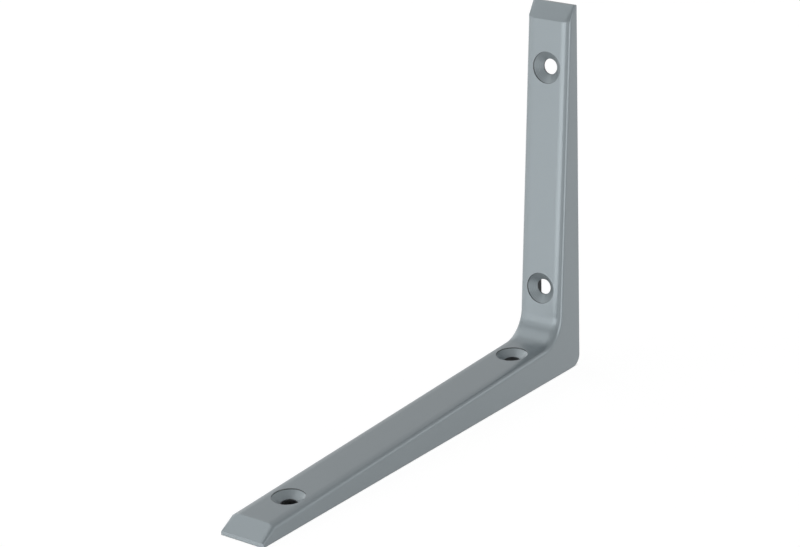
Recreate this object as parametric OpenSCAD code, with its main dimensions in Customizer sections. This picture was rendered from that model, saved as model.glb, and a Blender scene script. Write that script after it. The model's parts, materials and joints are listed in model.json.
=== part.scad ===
// Shelf bracket: one L-shaped aluminium casting with a hollow back and four countersunk screw holes.
// It stands as it would be put down: the arm lies along -Y on the ground plane and the wall leg rises.
// The wall plane is y = 0, the plane that the shelf lies on is z = 0, and x = 0 is the mid-plane.
// On a wall it is turned over, so that the arm is on top and carries the shelf.

/* [Legs] */
// Length of the arm, from the wall plane to its nose
arm_l = 160; // [100:5:300]
// Height of the wall leg, from the shelf plane to its nose
leg_h = 120; // [90:5:250]
// Width across both side faces
body_w = 15.7; // [14:0.1:24]
// Depth of the arm where its inner face would meet the wall plane
arm_root = 12.2; // [10:0.1:18]
// Depth of the arm where its inner face would meet the nose
arm_tip = 4.7; // [4:0.1:7]
// Depth of the wall leg where its inner face would meet the shelf plane
leg_root = 12.6; // [10:0.1:18]
// Depth of the wall leg where its inner face would meet the nose
leg_tip = 4.2; // [4:0.1:7]

/* [Corners and edges] */
// Radius between the two inner faces
inner_r = 9; // [4:0.5:20]
// Radius of the outer corner
outer_r = 3.6; // [1:0.1:9]
// Width of the curved band along each edge of the inner faces
crown_w = 3.1; // [1.5:0.1:4.5]
// Drop of that band at the side face
crown_drop = 0.6; // [0.2:0.1:1.2]

/* [Noses] */
// Thickness of the flat nose at the end of the arm
arm_nose = 1.4; // [0.8:0.1:2.5]
// Length of the bevel behind the arm's nose
arm_bevel = 5.6; // [3:0.1:9]
// Thickness of the flat nose at the end of the wall leg
leg_nose = 1.2; // [0.8:0.1:2.5]
// Length of the bevel behind the wall leg's nose
leg_bevel = 4.9; // [3:0.1:9]

/* [Hollow back] */
// Thickness of each side wall
wall_t = 1; // [0.8:0.1:2.5]
// Solid length at the end of each leg
end_solid = 6.5; // [3:0.5:12]

/* [Screw holes] */
// Diameter of the screw holes
hole_d = 5; // [3.5:0.1:6]
// Diameter of the countersinks at the inner face
sink_d = 10; // [7.5:0.1:11]
// Depth of each countersink, from the inner face to the screw hole
sink_depth = 2.2; // [1.6:0.1:3]
// Height of the upright rim at the mouth of each countersink
sink_rim = 0.4; // [0.1:0.1:0.8]
// Straight length of each hole below its countersink
land = 0.5; // [0.3:0.1:2]
// Height of the lower wall screw above the shelf plane
leg_hole_in = 28; // [24:1:36]
// Distance from the upper wall screw to the wall leg's nose
leg_hole_out = 20; // [14:1:30]
// Distance of the inner shelf screw from the wall plane
arm_hole_in = 27; // [24:1:36]
// Distance from the outer shelf screw to the arm's nose
arm_hole_out = 21; // [14:1:30]

/* [Hidden] */
$fn = 96;

// slope of each inner face, as a rise and as an angle
leg_slope = (leg_root - leg_tip) / leg_h;
arm_slope = (arm_root - arm_tip) / arm_l;
leg_a = atan(leg_slope);
arm_a = atan(arm_slope);

// the inner radius touches both inner faces, so its centre is inner_r from each
leg_reach = leg_root + inner_r / cos(leg_a);
arm_reach = arm_root + inner_r / cos(arm_a);
centre_den = 1 - leg_slope * arm_slope;
inner_y = -(leg_reach - leg_slope * arm_reach) / centre_den;
inner_z = (arm_reach - arm_slope * leg_reach) / centre_den;

// the curved band is an arc that leaves the flat face without a step
crown_r = (crown_w * crown_w + crown_drop * crown_drop) / (2 * crown_drop);
flat_w = body_w - 2 * crown_w;

// thickness of the plate that holds the countersinks
plate_t = sink_depth + land;

// a length that reaches past the whole bracket, and how far a cut runs past the metal
far = arm_l + leg_h;
past = 1;

// the flat faces cross the radius between them in one clean edge, this far from just touching it
seam = 0.001;

// depth of each leg under its inner face, at a height or at a distance from the wall plane
function leg_depth(z) = leg_root - leg_slope * z;
function arm_depth(s) = arm_root - arm_slope * s;

// a side view drawn in y and z becomes a solid of this width about the mid-plane
module across(w) rotate([90, 0, 90]) linear_extrude(w, center = true) children();

// section of the metal below an inner face: x is depth, y is width, with a curved band at each edge
module crown_section(deep) {
    translate([0, -flat_w / 2]) square([deep, flat_w]);
    translate([crown_r, -body_w / 2 - past]) square([deep - crown_r, body_w + 2 * past]);
    for (side = [-1, 1]) translate([crown_r, side * flat_w / 2]) circle(crown_r);
}

// that section run straight, up the wall leg or out along the arm
module crown_run(length, deep) rotate([90, 0, 0]) linear_extrude(length) crown_section(deep);

// metal behind the radius that joins the inner faces, and behind each inner face
module corner_metal()
    rotate([0, 0, arm_a - 90]) rotate_extrude(angle = 90 - arm_a - leg_a)
        translate([inner_r, 0]) crown_section(far);
module leg_metal() rotate([0, 0, -leg_a]) translate([inner_r - seam, far, 0]) crown_run(far + past, far);
module arm_metal() rotate([0, 0, arm_a - 90]) translate([inner_r - seam, past, 0]) crown_run(far, far);

// metal behind a bevel, whose plane passes through its nose and turns about it
module bevel_metal(nose_y, nose_z, turn)
    translate([nose_y, nose_z, 0]) rotate([0, 0, turn]) translate([0, far, 0]) crown_run(2 * far, far);

module inner_faces() {
    leg_fall = leg_depth(leg_h - leg_bevel) - leg_nose;
    arm_fall = arm_depth(arm_l - arm_bevel) - arm_nose;
    rotate([90, 0, 90]) {
        translate([inner_y, inner_z, 0]) corner_metal();
        intersection() {
            translate([inner_y, inner_z, 0]) leg_metal();
            bevel_metal(-leg_nose, leg_h, -atan(leg_fall / leg_bevel));
        }
        intersection() {
            translate([inner_y, inner_z, 0]) arm_metal();
            bevel_metal(-arm_l, arm_nose, atan(arm_fall / arm_bevel) - 90);
        }
    }
}

// outer shape from the side, with the rounded outer corner
module outer_side() {
    difference() {
        translate([-arm_l, 0]) square([arm_l, leg_h]);
        translate([-outer_r, 0]) square(outer_r);
    }
    translate([-outer_r, outer_r]) circle(outer_r);
}

// everything in front of the inner faces, grown by the thickness of the plate
module plate_side(grow) {
    translate([inner_y, inner_z]) {
        circle(inner_r + grow);
        rotate(-leg_a) translate([-far, 0]) square([far + inner_r + grow - seam, far]);
        rotate(arm_a - 90) translate([-far, -far]) square([far + inner_r + grow - seam, far]);
    }
}

// the hollow, open at the wall plane and at the shelf plane and closed at both noses
module hollow() {
    across(body_w - 2 * wall_t) difference() {
        translate([end_solid - arm_l, -past]) square([arm_l - end_solid + past, leg_h - end_solid + past]);
        plate_side(plate_t);
    }
}

// hole, countersink and room to drive the screw past the inner radius, with the inner face at z = 0
module screw_hole() {
    translate([0, 0, -far]) cylinder(h = far, d = hole_d);
    translate([0, 0, -sink_depth]) cylinder(h = sink_depth - sink_rim, d1 = hole_d, d2 = sink_d);
    translate([0, 0, -sink_rim]) cylinder(h = sink_rim + inner_r, d = sink_d);
}

// the holes are square to the sloping inner faces, so that the screw heads lie flush
module screw_holes() {
    for (z = [leg_hole_in, leg_h - leg_hole_out])
        translate([0, -leg_depth(z), z]) rotate([90 - leg_a, 0, 0]) screw_hole();
    for (s = [arm_hole_in, arm_l - arm_hole_out])
        translate([0, -s, arm_depth(s)]) rotate([arm_a, 0, 0]) screw_hole();
}

module bracket() {
    color([0.62, 0.66, 0.67]) difference() {
        intersection() {
            across(body_w) outer_side();
            inner_faces();
        }
        hollow();
        screw_holes();
    }
}

bracket();
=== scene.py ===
import json
from math import asin, atan, cos, pi, radians, sin, tan

import bmesh
import bpy
from mathutils import Matrix, Vector


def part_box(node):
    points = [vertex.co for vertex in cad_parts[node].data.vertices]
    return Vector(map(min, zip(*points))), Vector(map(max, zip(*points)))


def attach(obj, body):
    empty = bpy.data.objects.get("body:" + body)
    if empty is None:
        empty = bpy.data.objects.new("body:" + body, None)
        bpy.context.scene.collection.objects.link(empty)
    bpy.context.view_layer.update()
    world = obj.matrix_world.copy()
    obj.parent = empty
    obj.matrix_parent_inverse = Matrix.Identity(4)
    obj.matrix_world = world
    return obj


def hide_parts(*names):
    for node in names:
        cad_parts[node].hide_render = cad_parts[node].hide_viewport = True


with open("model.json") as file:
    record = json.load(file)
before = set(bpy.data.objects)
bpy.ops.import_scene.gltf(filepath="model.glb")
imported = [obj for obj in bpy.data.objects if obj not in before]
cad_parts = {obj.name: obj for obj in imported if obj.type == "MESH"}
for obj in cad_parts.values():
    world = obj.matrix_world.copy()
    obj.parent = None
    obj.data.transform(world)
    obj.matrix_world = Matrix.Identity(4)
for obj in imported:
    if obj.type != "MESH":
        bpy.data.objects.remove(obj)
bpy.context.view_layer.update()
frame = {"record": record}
print("frame loaded")

mm = 0.001
armLength = -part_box("bracket")[0].y / mm
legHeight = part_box("bracket")[1].z / mm
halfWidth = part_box("bracket")[1].x / mm

# how close counts as the same place, in millimetres
closeness = {
    "plane": 0.02,  # points picked as lying on a plane or a line
    "weld": 0.0002,  # points merged into one
    "seam": 0.001,  # points merged where a half meets its mirror image, or a turned shape its start
    "cut": 0.0001,  # points taken as lying on a cutting plane
}

# the casting in millimetres and degrees, inside the length, height and width that the frame gives
casting = {
    "armRoot": 12.2,  # depth of the arm at the wall plane and at its nose
    "armTip": 4.7,
    "legRoot": 12.6,  # depth of the wall leg at the shelf plane and at its nose
    "legTip": 4.2,
    "innerR": 9.0,
    "outerR": 3.6,
    "bandWidth": 3.1,  # curved band along each edge of the inner faces
    "bandDrop": 0.6,
    "edgeR": 1.5,  # rounding where the band meets the side
    "armBevel": 5.6,  # length of each bevel and thickness of its nose
    "armNose": 1.4,
    "legBevel": 4.9,
    "legNose": 1.2,
    "bevelStep": 0.7,  # this far down a bevel its bands and roundings have shrunk to a share
    "bevelShare": 0.6,
    "noseShare": 0.3,  # and just past its nose to a smaller one
    "creaseSoft": 0.3,  # small bevels on the creases, and on every edge that turns by more than sharpTurn
    "rimSoft": 0.22,
    "sharpTurn": 45,
    "deep": 21.0,  # the swept block reaches this far behind the inner faces before it is cut
    "overrun": 1.5,  # and this far past each nose
    "bandSteps": 12,
    "edgeSteps": 6,
    "bendSteps": 36,
    "outerSteps": 16,
    "creaseSteps": 3,
    "rimSteps": 2,
    "flatTurn": 0.2,  # faces that turn by less than this are made one, and all curved ones turn by more
    "smoothTurn": 24,  # edges that turn by less than this are shaded smooth
    "normalWeight": 60,
}

# the open back, in millimetres and degrees
hollow = {
    "plate": 2.7,  # metal left behind the inner faces
    "halfWidth": 6.7,  # at the floor, growing to the mouth by the draft
    "draft": 1.0,
    "floorR": 0.8,
    "endSolid": 6.5,  # metal left at each nose
    "deep": 21.0,  # far enough to clear the outer corner
    "floorSteps": 5,
}

# one screw hole with its countersink, in millimetres and degrees
screwHole = {
    "mouthR": 5.0,
    "sinkDepth": 2.2,
    "rim": 0.4,  # the countersink's upright rim
    "lip": 0.13,  # radius of the small lip round it
    "lipTurn": 75,
    "lipSteps": 3,
    "reach": 12.0,  # how far the cutting shape goes into the metal, and out of it
    "headRoom": 7.0,
    "sides": 72,
}

legSlope = (casting["legRoot"] - casting["legTip"]) / legHeight
armSlope = (casting["armRoot"] - casting["armTip"]) / armLength
legTilt = atan(legSlope)
armTilt = atan(armSlope)


def legFace(z):  # a point of the wall leg's inner face on the mid-plane
    return Vector((0, legSlope * z - casting["legRoot"], z))


def armFace(s):  # a point of the arm's inner face on the mid-plane, this far from the wall plane
    return Vector((0, -s, casting["armRoot"] - armSlope * s))


# directions, and those along each leg towards its nose and into its metal
origin = Vector((0, 0, 0))
sideways = Vector((1, 0, 0))
backwards = Vector((0, 1, 0))
upwards = Vector((0, 0, 1))
legAlong = Vector((0, sin(legTilt), cos(legTilt)))
legInto = Vector((0, cos(legTilt), -sin(legTilt)))
armAlong = Vector((0, -cos(armTilt), -sin(armTilt)))
armInto = Vector((0, sin(armTilt), -cos(armTilt)))

# the centre of the inner radius lies one radius in front of both inner faces
legReach = casting["legRoot"] + casting["innerR"] / cos(legTilt)
armReach = casting["armRoot"] + casting["innerR"] / cos(armTilt)
crossed = 1 - legSlope * armSlope
bendBack = (legSlope * armReach - legReach) / crossed
bendHeight = (armReach - armSlope * legReach) / crossed
bendCentre = Vector((0, bendBack, bendHeight))
bendTurn = pi / 2 - armTilt - legTilt


# modelling in edit mode, with lengths in millimetres
def startPoint(name):  # a new mesh of one point, left in edit mode
    bpy.ops.object.select_all(action="DESELECT")
    bpy.ops.mesh.primitive_plane_add(size=mm)
    made = bpy.context.object
    made.name = name
    made.data.name = name
    bpy.ops.object.mode_set(mode="EDIT")
    bpy.ops.mesh.select_mode(type="VERT")
    bpy.ops.mesh.select_all(action="SELECT")
    bpy.ops.mesh.merge(type="CENTER")
    return made


def pick(kind, test):
    bpy.ops.mesh.select_mode(type=kind)
    bpy.ops.mesh.select_all(action="DESELECT")
    mesh = bmesh.from_edit_mesh(bpy.context.edit_object.data)
    for part in {"VERT": mesh.verts, "EDGE": mesh.edges, "FACE": mesh.faces}[kind]:
        if test(part):
            part.select_set(True)
    mesh.select_flush_mode()
    bmesh.update_edit_mesh(bpy.context.edit_object.data)


def pickAll():
    bpy.ops.mesh.select_all(action="SELECT")


def moveBy(step):
    bpy.ops.transform.translate(value=step * mm)


def extrudeBy(step):
    bpy.ops.mesh.extrude_region_move(TRANSFORM_OT_translate={"value": step * mm})


def spinBy(turn, centre, axis, steps):  # right-handed about the axis
    bpy.ops.mesh.spin(steps=steps, angle=-turn, center=centre * mm, axis=axis)


def tipBy(turn, centre):  # right-handed about X
    bpy.ops.transform.rotate(value=-turn, orient_axis="X", center_override=centre * mm)


def cutAway(point, outwards):
    pickAll()
    bpy.ops.mesh.bisect(
        plane_co=point * mm, plane_no=outwards, use_fill=True, clear_outer=True,
        threshold=closeness["cut"] * mm)


def leaveEdit():
    pickAll()
    bpy.ops.mesh.remove_doubles(threshold=closeness["weld"] * mm)
    bpy.ops.mesh.normals_make_consistent(inside=False)
    bpy.ops.object.mode_set(mode="OBJECT")


def useModifier(made, kind, **settings):
    bpy.ops.object.select_all(action="DESELECT")
    made.select_set(True)
    bpy.context.view_layer.objects.active = made
    modifier = made.modifiers.new(kind, kind)
    for name, value in settings.items():
        setattr(modifier, name, value)
    bpy.ops.object.modifier_apply(modifier=modifier.name)


def mirrorAndClose(made):  # from the right half in edit mode to the whole, with its open ends filled
    leaveEdit()
    useModifier(made, "MIRROR", use_clip=True, merge_threshold=closeness["seam"] * mm)
    bpy.ops.object.mode_set(mode="EDIT")
    pickAll()
    bpy.ops.mesh.fill_holes(sides=0)


def isOnPlane(vert, point, normal):
    return abs((vert.co / mm - point).dot(normal)) < closeness["plane"]


def onArmSection(x, deep):  # where the arm meets the inner radius
    return bendCentre + armInto * (casting["innerR"] + deep) + sideways * x


def isInArmSection(vert):
    return isOnPlane(vert, bendCentre, armAlong)


def isOnOuterCorner(vert):  # where the wall plane meets the shelf plane
    return isOnPlane(vert, origin, backwards) and isOnPlane(vert, origin, upwards)


# half of the casting's section, a chain of edges round its metal; gives the depth at which its rounding ends
def blockSection():
    flat = halfWidth - casting["bandWidth"]
    edgeR = casting["edgeR"]
    bandR = (casting["bandWidth"] ** 2 + casting["bandDrop"] ** 2) / (2 * casting["bandDrop"])
    bandTurn = asin((casting["bandWidth"] - edgeR) / (bandR - edgeR))
    edgeDeep = bandR - (bandR - edgeR) * cos(bandTurn)
    moveBy(onArmSection(0, 0))
    extrudeBy(sideways * flat)
    spinBy(-bandTurn, onArmSection(flat, bandR), armAlong, casting["bandSteps"])
    spinBy(bandTurn - pi / 2, onArmSection(halfWidth - edgeR, edgeDeep), armAlong, casting["edgeSteps"])
    extrudeBy(armInto * (casting["deep"] - edgeDeep))
    extrudeBy(sideways * -halfWidth)
    return edgeDeep


# shrinks the rounded edge of one section towards the corner of the face and the side
def narrowEdge(edgeDeep, front, into, share, before):
    corner = front + sideways * halfWidth
    wide = casting["bandWidth"] * before + closeness["plane"]
    deep = edgeDeep * before + closeness["plane"]

    def onEdge(vert):
        gap = vert.co / mm - corner
        return isOnPlane(vert, corner, into.cross(sideways)) and gap.x > -wide and gap.dot(into) < deep

    pick("VERT", onEdge)
    step = share / before
    bpy.ops.transform.resize(
        value=(step, step, 1), orient_type="LOCAL", orient_matrix_type="LOCAL",
        orient_matrix=(sideways, into, sideways.cross(into)), center_override=corner * mm)


# the selected section runs straight to a crease, then down the bevel and a little past the nose
def runToNose(edgeDeep, start, crease, nose, into):
    along = (crease - start).normalized()
    down = (nose - crease).normalized()
    extrudeBy(crease - start)
    tip = along.rotation_difference(down)
    half = tip.angle / 2 * (1 if tip.axis.x > 0 else -1)
    tipBy(half, crease)
    tippedInto = Matrix.Rotation(half, 3, "X") @ into
    stepEnd = crease + down * casting["bevelStep"]
    noseEnd = nose + down * casting["overrun"]
    extrudeBy(stepEnd - crease)
    narrowEdge(edgeDeep, stepEnd, tippedInto, casting["bevelShare"], 1)
    pick("VERT", lambda v: isOnPlane(v, stepEnd, tippedInto.cross(sideways)))
    extrudeBy(noseEnd - stepEnd)
    narrowEdge(edgeDeep, noseEnd, tippedInto, casting["noseShare"], casting["bevelShare"])
    return tippedInto


def softenCrease(crease, tippedInto, edgeDeep):
    def onCrease(vert):
        below = (vert.co / mm - crease).dot(tippedInto)
        return isOnPlane(vert, crease, tippedInto.cross(sideways)) and below < edgeDeep + closeness["plane"]

    pick("EDGE", lambda e: onCrease(e.verts[0]) and onCrease(e.verts[1]))
    bpy.ops.mesh.bevel(offset=casting["creaseSoft"] * mm, segments=casting["creaseSteps"], affect="EDGES")


def buildBlock():
    made = startPoint("castBracket")
    edgeDeep = blockSection()
    armCrease = armFace(armLength - casting["armBevel"])
    legCrease = legFace(legHeight - casting["legBevel"])
    armEnd = -backwards * armLength
    legEnd = upwards * legHeight
    armNose = armEnd + upwards * casting["armNose"]
    legNose = legEnd - backwards * casting["legNose"]
    pickAll()
    armTipped = runToNose(edgeDeep, onArmSection(0, 0), armCrease, armNose, armInto)
    pick("VERT", isInArmSection)
    spinBy(bendTurn, bendCentre, sideways, casting["bendSteps"])
    legStart = bendCentre + legInto * casting["innerR"]
    legTipped = runToNose(edgeDeep, legStart, legCrease, legNose, legInto)
    mirrorAndClose(made)
    cutAway(legEnd, upwards)
    cutAway(armEnd, -backwards)
    cutAway(origin, backwards)
    cutAway(origin, -upwards)
    pickAll()
    bpy.ops.mesh.dissolve_limited(angle_limit=radians(casting["flatTurn"]))
    pick("EDGE", lambda e: all(isOnOuterCorner(v) for v in e.verts))
    bpy.ops.mesh.bevel(offset=casting["outerR"] * mm, segments=casting["outerSteps"], affect="EDGES")
    softenCrease(armCrease, armTipped, edgeDeep)
    softenCrease(legCrease, legTipped, edgeDeep)
    sharp = radians(casting["sharpTurn"])
    pick("EDGE", lambda e: len(e.link_faces) == 2 and e.calc_face_angle() > sharp)
    bpy.ops.mesh.bevel(offset=casting["rimSoft"] * mm, segments=casting["rimSteps"], affect="EDGES")
    leaveEdit()
    return made


# the space behind the plate, open to the wall plane and to the shelf plane
def buildHollow():
    made = startPoint("hollowCore")
    draft = radians(hollow["draft"])
    floorR = hollow["floorR"]
    floorX = hollow["halfWidth"] - floorR
    plate = hollow["plate"]
    sideDeep = plate + floorR * (1 - sin(draft))
    sideX = floorX + floorR * cos(draft)
    moveBy(onArmSection(0, plate))
    extrudeBy(sideways * floorX)
    spinBy(draft - pi / 2, onArmSection(floorX, plate + floorR), armAlong, hollow["floorSteps"])
    mouth = onArmSection(sideX + (hollow["deep"] - sideDeep) * tan(draft), hollow["deep"])
    extrudeBy(mouth - onArmSection(sideX, sideDeep))
    extrudeBy(onArmSection(0, hollow["deep"]) - mouth)
    pickAll()
    extrudeBy(armAlong * armLength)
    pick("VERT", isInArmSection)
    spinBy(bendTurn, bendCentre, sideways, casting["bendSteps"])
    extrudeBy(legAlong * legHeight)
    mirrorAndClose(made)
    cutAway(upwards * (legHeight - hollow["endSolid"]), upwards)
    cutAway(backwards * (hollow["endSolid"] - armLength), -backwards)
    leaveEdit()
    return made


# a turned shape that cuts one hole, square to the inner face at this point
def buildDrill(point, outwards, holeR, sinkCoat, boreShadeCoat):
    made = startPoint("drill")
    made.data.materials.append(sinkCoat)
    made.data.materials.append(boreShadeCoat)
    across = outwards.cross(sideways)

    def at(radius, height):
        return point + across * radius + outwards * height

    mouthR = screwHole["mouthR"]
    lip = screwHole["lip"]
    moveBy(at(0, -screwHole["reach"]))
    extrudeBy(across * holeR)
    extrudeBy(outwards * (screwHole["reach"] - screwHole["sinkDepth"]))
    extrudeBy(at(mouthR, -screwHole["rim"]) - at(holeR, -screwHole["sinkDepth"]))
    extrudeBy(outwards * (screwHole["rim"] - lip))
    spinBy(-radians(screwHole["lipTurn"]), at(mouthR + lip, -lip), sideways, screwHole["lipSteps"])
    extrudeBy(outwards * screwHole["headRoom"])
    # from wherever that ends, straight back to the axis
    mesh = bmesh.from_edit_mesh(made.data)
    last = next(v.co.copy() for v in mesh.verts if v.select) / mm
    extrudeBy(point + outwards * (last - point).dot(outwards) - last)
    pickAll()
    spinBy(2 * pi, point, outwards, screwHole["sides"])
    pickAll()
    bpy.ops.mesh.remove_doubles(threshold=closeness["seam"] * mm)
    # the bore walls take the dark painted-shade skin
    boreEdge = holeR + closeness["plane"]
    pick("FACE", lambda f: all((v.co / mm - point).cross(outwards).length < boreEdge for v in f.verts))
    made.active_material_index = 1
    bpy.ops.object.material_slot_assign()
    leaveEdit()
    return made


# the two holes of a pattern lie opposite each other on its circle, along their leg
def buildDrills(sinkCoat, boreShadeCoat):
    drills = []
    mounts = {mount["name"]: mount for mount in frame["record"]["mounts"]}
    for name, face in (("wall_screws", legFace(0)), ("shelf_screws", armFace(0))):
        dims = mounts[name]["dims"]
        centre = Vector(mounts[name]["pos_m"]) / mm
        outwards = Vector(mounts[name]["axis"])
        onFace = centre + outwards * (face - centre).dot(outwards)
        along = outwards.cross(sideways)
        for side in (-1, 1):
            place = onFace + along * side * dims["pcd_mm"] / 2
            drills.append(buildDrill(place, outwards, dims["hole_r_mm"], sinkCoat, boreShadeCoat))
    bpy.ops.object.select_all(action="DESELECT")
    for drill in drills:
        drill.select_set(True)
    bpy.context.view_layer.objects.active = drills[0]
    bpy.ops.object.join()
    return drills[0]


# shader maths as plain expressions on sockets
class Wire:
    def __init__(self, sheet, socket):
        self.sheet = sheet
        self.socket = socket

    def __add__(self, other):
        return self.sheet.maths("ADD", self, other)

    def __radd__(self, other):
        return self.sheet.maths("ADD", other, self)

    def __sub__(self, other):
        return self.sheet.maths("SUBTRACT", self, other)

    def __rsub__(self, other):
        return self.sheet.maths("SUBTRACT", other, self)

    def __mul__(self, other):
        return self.sheet.maths("MULTIPLY", self, other)

    def __rmul__(self, other):
        return self.sheet.maths("MULTIPLY", other, self)

    def __gt__(self, other):
        return self.sheet.maths("GREATER_THAN", self, other)

    def __lt__(self, other):
        return self.sheet.maths("LESS_THAN", self, other)

    def __abs__(self):
        return self.sheet.maths("ABSOLUTE", self, 0)


class ShaderSheet:
    def __init__(self, owner):
        owner.use_nodes = True
        self.tree = owner.node_tree
        self.tree.nodes.clear()

    def node(self, kind, settings=None, inputs=None, output=0):
        made = self.tree.nodes.new("ShaderNode" + kind)
        for name, value in (settings or {}).items():
            setattr(made, name, value)
        for name, value in (inputs or {}).items():
            if isinstance(value, Wire):
                self.tree.links.new(value.socket, made.inputs[name])
            else:
                made.inputs[name].default_value = value
        return Wire(self, made.outputs[output]) if made.outputs else made

    def maths(self, operation, first, second):
        return self.node("Math", {"operation": operation}, {0: first, 1: second})

    def largest(self, first, second):
        return self.maths("MAXIMUM", first, second)

    def place(self):
        return self.node("TexCoord", output="Object")

    def parts(self, vector):  # its X, Y and Z
        split = self.node("SeparateXYZ", {}, {"Vector": vector})
        return [Wire(self, socket) for socket in split.socket.node.outputs]

    def along(self, vector, direction):
        return self.node("VectorMath", {"operation": "DOT_PRODUCT"}, {0: vector, 1: direction}, "Value")

    def mixColour(self, share, first, second):  # 6, 7 and 2 are the colour sockets of a mix
        return self.node("Mix", {"data_type": "RGBA"}, {"Factor": share, 6: first, 7: second}, 2)

    def noise(self, place, size, detail):
        return self.node("TexNoise", {}, {"Vector": place, "Scale": 1 / size, "Detail": detail})

    def bump(self, height, distance):
        return self.node("Bump", {}, {"Height": height, "Strength": 1.0, "Distance": distance})

    def coat(self, sockets):
        self.node("OutputMaterial", {}, {"Surface": self.node("BsdfPrincipled", {}, sockets)})


# satin silver-grey paint, with colours in linear light and sizes in metres, as in the finishes below
paint = {
    "colour": (0.258, 0.300, 0.322, 1),
    "paler": (0.272, 0.314, 0.336, 1),
    "metallic": 0.25,
    "roughness": 0.30,
    "roughnessChange": 0.05,
    "mottleSize": 0.012,
    "mottleDetail": 3.0,
    "grainSize": 0.0007,
    "grainDetail": 2.0,
    "grainShare": 0.3,  # of the change in colour; the mottle makes the rest
    "peelHeight": 0.0000025,
}

# the countersinks were turned before painting: fine rings run round them
turned = {
    # painted light: the cones are paler than the paint, for light the lamps don't bring into them
    "colour": (0.33, 0.375, 0.395, 1),
    "rimShadeColour": (0.14, 0.155, 0.16, 1),  # painted shade: the upright rims are painted dark for the shadow inside them
    "roughness": 0.36,
    "ringSpacing": 0.00032,
    "ringHeight": 0.000012,
    "grainHeight": 0.8,  # beside the rings
    "legFrom": 0.02,  # the holes above this height are the wall leg's
}

# painted shade: the open back and the bores are painted dark for the shadow inside them, with a lumpy rough
# skin
paintedShadeSkin = {
    "colour": (0.13, 0.14, 0.145, 1),
    "paler": (0.20, 0.21, 0.215, 1),
    "roughness": 0.7,
    "shine": 0.1,
    "lumpSize": 0.0009,
    "lumpDetail": 4.0,
    "lumpHeight": 0.00002,
}


def paintTexture(sheet, place):
    mottle = sheet.noise(place, paint["mottleSize"], paint["mottleDetail"])
    grain = sheet.noise(place, paint["grainSize"], paint["grainDetail"])
    return mottle, grain


def makePaint():
    material = bpy.data.materials.new("satinPaint")
    sheet = ShaderSheet(material)
    mottle, grain = paintTexture(sheet, sheet.place())
    change = mottle * (1 - paint["grainShare"]) + grain * paint["grainShare"]
    sheet.coat({
        "Base Color": sheet.mixColour(change, paint["colour"], paint["paler"]),
        "Roughness": paint["roughness"] + (mottle - 0.5) * paint["roughnessChange"],
        "Metallic": paint["metallic"],
        "Normal": sheet.bump(grain, paint["peelHeight"])})
    return material


def makeTurnedPaint():
    material = bpy.data.materials.new("turnedPaint")
    sheet = ShaderSheet(material)
    place = sheet.place()
    mottle, grain = paintTexture(sheet, place)
    # depth below the inner face of the wall leg or of the arm
    onLeg = sheet.parts(place)[2] > turned["legFrom"]
    legBelow = sheet.along(place, legInto) - legFace(0).dot(legInto) * mm
    armBelow = sheet.along(place, armInto) - armFace(0).dot(armInto) * mm
    depth = legBelow * onLeg + armBelow * (1 - onLeg)
    onCone = depth > screwHole["rim"] * mm
    rings = sheet.node("Math", {"operation": "SINE"}, {0: depth * (2 * pi / turned["ringSpacing"])})
    # painted light: the cones take the paler turned colour, mottled with the paint
    coneColour = sheet.mixColour(mottle, turned["colour"], paint["colour"])
    # painted shade on the upright rims, painted light on the cones
    sheet.coat({
        "Base Color": sheet.mixColour(onCone, turned["rimShadeColour"], coneColour),
        "Roughness": turned["roughness"],
        "Metallic": paint["metallic"],
        "Normal": sheet.bump(rings + grain * turned["grainHeight"], turned["ringHeight"])})
    return material


def makePaintedShadeSkin():
    material = bpy.data.materials.new("paintedShadeSkin")
    sheet = ShaderSheet(material)
    place = sheet.place()
    lumps = sheet.noise(place, paintedShadeSkin["lumpSize"], paintedShadeSkin["lumpDetail"])
    sheet.coat({
        # painted shade: the dark colour stands in for the shadow in the open back and the bores
        "Base Color": sheet.mixColour(lumps, paintedShadeSkin["colour"], paintedShadeSkin["paler"]),
        "Roughness": paintedShadeSkin["roughness"],
        "Specular IOR Level": paintedShadeSkin["shine"],
        "Normal": sheet.bump(lumps, paintedShadeSkin["lumpHeight"])})
    return material


def buildBracket():
    paintCoat = makePaint()
    sinkCoat = makeTurnedPaint()
    paintedShadeCoat = makePaintedShadeSkin()
    block = buildBlock()
    block.data.materials.append(paintCoat)
    print("block swept and cut")
    core = buildHollow()
    # the open back takes the dark painted-shade skin
    core.data.materials.append(paintedShadeCoat)
    drills = buildDrills(sinkCoat, paintedShadeCoat)
    for cutter in (core, drills):
        useModifier(block, "BOOLEAN", operation="DIFFERENCE", object=cutter, solver="EXACT",
                    material_mode="TRANSFER")
        bpy.data.objects.remove(cutter)
    # merge what the cuts left doubled
    bpy.ops.object.mode_set(mode="EDIT")
    leaveEdit()
    bpy.ops.object.shade_smooth_by_angle(angle=radians(casting["smoothTurn"]))
    useModifier(block, "WEIGHTED_NORMAL", keep_sharp=True, weight=casting["normalWeight"])
    print("bracket modelled,", len(block.data.polygons), "faces")
    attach(block, "root")
    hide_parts("bracket")


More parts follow.
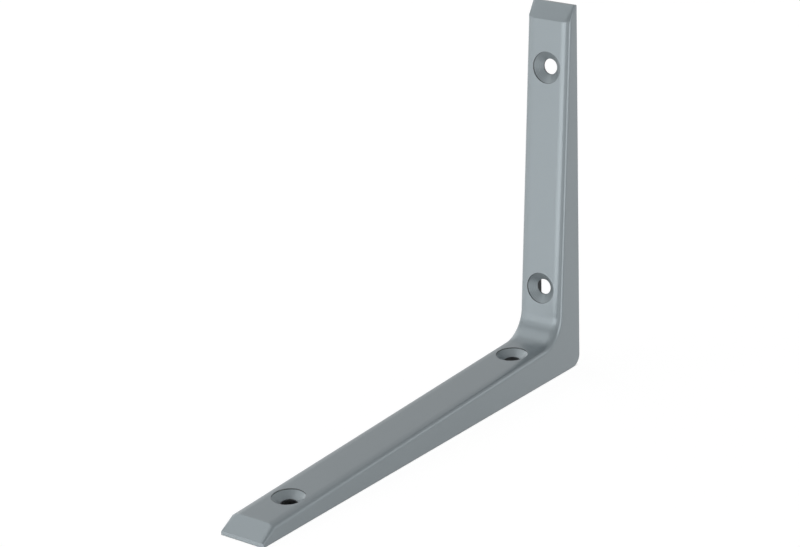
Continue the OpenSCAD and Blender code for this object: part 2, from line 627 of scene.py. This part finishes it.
# studio: a pale floor, soft lamps and a white background, in metres and degrees
studio = {
    "aim": Vector((0, -83.7, 55.8)) * mm,
    "floorSize": 6.0,
    "floorColour": (0.80, 0.80, 0.80, 1),
    "floorGlow": (0.96, 0.96, 0.96, 1),  # for the camera alone the floor is white, with a faint shade
    "floorSeen": (0.12, 0.12, 0.12, 1),
    "plainFrom": 0.006,  # but plain under the arm, in full from this distance to the wall plane
    "ambient": 0.1,
    "away": 1.2,
    "lamps": {  # degrees round and up, wide and tall as the bracket sees it, and a level where 1 is white
        "left": {"azimuth": -95, "elevation": 5, "wide": 34, "tall": 60, "level": 0.85},
        "front": {"azimuth": -36, "elevation": -12, "wide": 68, "tall": 56, "level": 1.267},
        "frontStrip": {"azimuth": -16.5, "elevation": -12, "wide": 19, "tall": 56, "level": 2.34},
        "frontRight": {"azimuth": 20, "elevation": -12, "wide": 40, "tall": 56, "level": 0.82},
        "right": {"azimuth": 60, "elevation": -12, "wide": 30, "tall": 56, "level": 0.46},
        "rightStrip": {"azimuth": 86, "elevation": -12, "wide": 24, "tall": 56, "level": 3.7},
        "rightBack": {"azimuth": 114, "elevation": -12, "wide": 26, "tall": 56, "level": 0.7},
        "side": {"azimuth": 170, "elevation": -8, "wide": 34, "tall": 40, "level": 1.0},
        "upper": {"azimuth": -37, "elevation": 20, "wide": 33, "tall": 29, "level": 0.8},
        "high": {"azimuth": -76, "elevation": 52, "wide": 40, "tall": 32, "level": 1.13},
        "backRight": {"azimuth": 143, "elevation": 16, "wide": 30, "tall": 22, "level": 1.3},
        "backLeft": {"azimuth": -116, "elevation": 26, "wide": 24, "tall": 40, "level": 0.96},
    },
}


def fromAim(azimuth, elevation, distance):
    a = radians(azimuth)
    e = radians(elevation)
    return studio["aim"] + Vector((sin(a) * cos(e), -cos(a) * cos(e), sin(e))) * distance


def makeFloor():
    bpy.ops.object.select_all(action="DESELECT")
    bpy.ops.mesh.primitive_plane_add(size=studio["floorSize"])
    floor = bpy.context.object
    floor.name = "floor"
    material = bpy.data.materials.new("paleFloor")
    sheet = ShaderSheet(material)
    x, y = sheet.parts(sheet.place())[:2]
    # under the arm, where its holes show the floor, the camera sees the plain floor in the shade
    fromWall = sheet.node("Math", {"operation": "MULTIPLY", "use_clamp": True}, {
        0: y, 1: -1 / studio["plainFrom"]})
    covered = (abs(x) < halfWidth * mm) * fromWall * (y > -armLength * mm)
    seen = sheet.node("LightPath", output="Is Camera Ray")
    plain = sheet.node("BsdfDiffuse", {}, {"Color": studio["floorColour"]})
    glow = sheet.node("Emission", {}, {"Color": studio["floorGlow"]})
    faint = sheet.node("BsdfDiffuse", {}, {"Color": studio["floorSeen"]})
    bright = sheet.node("AddShader", {}, {0: glow, 1: faint})
    surface = sheet.node("MixShader", {}, {0: seen * (1 - covered), 1: plain, 2: bright})
    sheet.node("OutputMaterial", {}, {"Surface": surface})
    material.cycles.emission_sampling = "NONE"  # the glow lights nothing
    floor.data.materials.append(material)
    floor.visible_glossy = False  # the paint mirrors the white background in its place


def makeWorld():
    world = bpy.data.worlds.new("studioWorld")
    bpy.context.scene.world = world
    sheet = ShaderSheet(world)
    seen = sheet.node("LightPath", output="Is Camera Ray")
    through = sheet.node("LightPath", output="Is Transmission Ray")
    mirrored = sheet.node("LightPath", output="Is Glossy Ray")
    direct = sheet.largest(sheet.largest(seen, through), mirrored)
    strength = direct + (1 - direct) * studio["ambient"]
    background = sheet.node("Background", {}, {"Color": (1, 1, 1, 1), "Strength": strength})
    sheet.node("OutputWorld", {}, {"Surface": background})


def makeLamps():
    for name, lamp in studio["lamps"].items():
        light = bpy.data.lights.new(name, "AREA")
        light.shape = "RECTANGLE"
        light.size = 2 * studio["away"] * tan(radians(lamp["wide"] / 2))
        light.size_y = 2 * studio["away"] * tan(radians(lamp["tall"] / 2))
        light.energy = lamp["level"] * light.size * light.size_y * pi
        held = bpy.data.objects.new(name, light)
        bpy.context.scene.collection.objects.link(held)
        held.location = fromAim(lamp["azimuth"], lamp["elevation"], studio["away"])
        held.rotation_euler = (studio["aim"] - held.location).to_track_quat("-Z", "Y").to_euler()
        held.visible_camera = False


# the photo's viewpoint, in degrees and millimetres
viewpoint = {
    "azimuth": 37.8731,
    "elevation": 20.5883,
    "roll": -1.9389,
    "target": Vector((0, -83.4698, 56.2454)),
    "distance": 767.2037,
    "lens": 116.8133,
    "sensor": 36,
    "nearest": 10,  # nothing closer than this is seen
}


def makeCamera():
    a = radians(viewpoint["azimuth"])
    e = radians(viewpoint["elevation"])
    roll = radians(viewpoint["roll"])
    right = Vector((cos(a), sin(a), 0))
    back = Vector((sin(a) * cos(e), -cos(a) * cos(e), sin(e)))
    up = back.cross(right)
    rolledRight = right * cos(roll) + up * sin(roll)
    rolledUp = up * cos(roll) - right * sin(roll)
    data = bpy.data.cameras.new("camera")
    data.lens = viewpoint["lens"]
    data.sensor_width = viewpoint["sensor"]
    data.sensor_fit = "HORIZONTAL"
    data.clip_start = viewpoint["nearest"] * mm
    camera = bpy.data.objects.new("camera", data)
    bpy.context.scene.collection.objects.link(camera)
    turn = Matrix((rolledRight, rolledUp, back)).transposed().to_4x4()
    place = (viewpoint["target"] + back * viewpoint["distance"]) * mm
    camera.matrix_world = Matrix.Translation(place) @ turn
    bpy.context.scene.camera = camera


makeCamera()
buildBracket()
makeFloor()
makeWorld()
makeLamps()
bpy.context.scene.view_settings.view_transform = "Standard"
print("camera, floor and lamps set")
